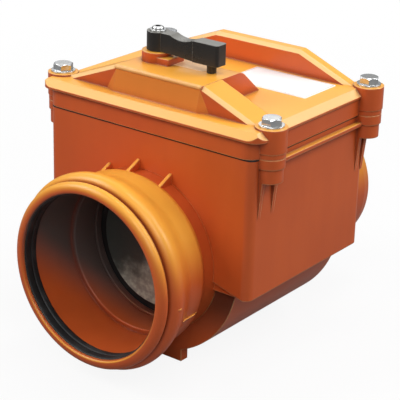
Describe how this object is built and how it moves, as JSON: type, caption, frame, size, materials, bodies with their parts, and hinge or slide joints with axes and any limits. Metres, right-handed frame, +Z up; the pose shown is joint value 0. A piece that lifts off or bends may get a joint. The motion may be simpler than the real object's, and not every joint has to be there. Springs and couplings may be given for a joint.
{
  "type": "backwater valve",
  "caption": "Orange-brown plastic backwater valve with a pipe socket, a bolted cover, a swinging steel flap and a black locking lever.",
  "frame": {"origin": "on the pipe axis, at the shoulder inside the inlet socket", "axes": "+Y along the flow towards the outlet spigot, +Z up, +X to the right of the inlet"},
  "size_m": [0.1918, 0.252, 0.2166],
  "materials": {
    "pvc": "satin",
    "rubber": "matte",
    "zinc": "bright zinc",
    "steel": "brushed",
    "black_plastic": "semi-gloss",
    "acetal": "satin",
    "label_white": "matte"
  },
  "bodies": {
    "valve": {"inlet_socket": "pvc", "socket_seal": "rubber", "valve_body": "pvc", "outlet_spigot": "pvc", "seat_ring": "pvc", "cover": "pvc", "cover_gasket": "rubber", "cover_bolts": "zinc", "cover_nuts": "zinc", "label_plate": "label_white", "hinge_pin": "steel", "pin_clips": "zinc", "spindle_bush": "acetal"},
    "flap": {"flap_disc": "steel", "flap_seal": "rubber", "flap_clamp_plate": "steel", "flap_rivets": "steel", "flap_hanger": "steel", "flap_bolt": "zinc", "hinge_bushes": "acetal"},
    "lever": {"spindle": "steel", "spindle_rings": "rubber", "lever": "black_plastic", "lever_washer": "zinc", "lever_screw": "zinc", "lock_cam": "steel", "cam_nut": "zinc"}
  },
  "joints": [
    {"name": "flap_hinge", "type": "hinge", "parent": "valve", "child": "flap", "pos_m": [0, 0.0315, 0.066], "axis": [1, 0, 0], "range_deg": [0, 60]},
    {"name": "lever_turn", "type": "hinge", "parent": "valve", "child": "lever", "pos_m": [-0.022, 0.0489, 0], "axis": [0, 0, 1], "range_deg": [0, 90]}
  ]
}
